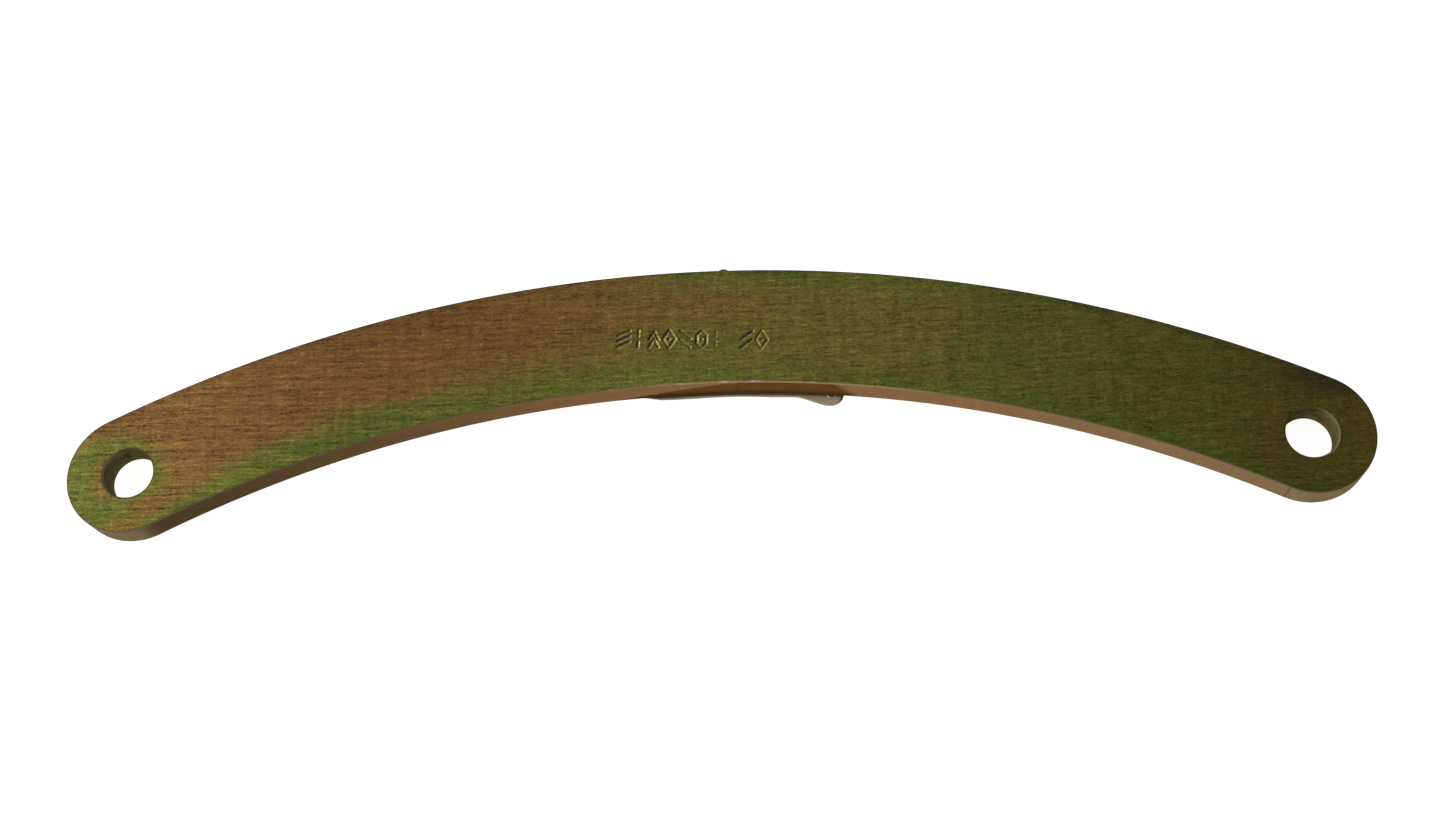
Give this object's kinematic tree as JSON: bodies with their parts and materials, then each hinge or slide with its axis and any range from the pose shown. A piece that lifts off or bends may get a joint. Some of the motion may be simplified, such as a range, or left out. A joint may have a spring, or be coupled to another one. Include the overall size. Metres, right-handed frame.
{
  "type": "leaf spring link bar",
  "caption": "Flat steel bar curved in its own plane, with a plain round eye at each end and a thin spring leaf with a contact button screwed to its back face.",
  "frame": {"origin": "under the middle of the part's box, level with its lowest point, the crown of the leaf's contact button", "axes": "+X along the line through both eyes, +Y towards the convex edge, +Z out of the bar's front face"},
  "size_m": [0.5296, 0.1074, 0.0211],
  "materials": {
    "bar_plate": "zinc plate with yellow chromate, mottled green, gold and brown over straight sanding grain; tan broken edges",
    "leaf_plate": "pale zinc plate, satin, slightly stained",
    "button_steel": "rubbed bright on the crown",
    "screw_zinc": "clear zinc plate",
    "washer_steel": "plated spring steel, satin"
  },
  "bodies": {
    "bar": {"curved_bar": "bar_plate", "leaf_root": "leaf_plate", "leaf_screw_1": "screw_zinc", "leaf_screw_2": "screw_zinc", "lock_washer_1": "washer_steel", "lock_washer_2": "washer_steel"},
    "tongue": {"leaf_tongue": "leaf_plate", "tip_button": "button_steel"}
  },
  "joints": [
    {"name": "tongue_flex", "type": "hinge", "parent": "bar", "child": "tongue", "pos_m": [-0.032, 0.00869, 0.00746], "axis": [0, -1, 0], "range_deg": [0, 3], "stiffness_Nm_per_rad": 10.6}
  ]
}
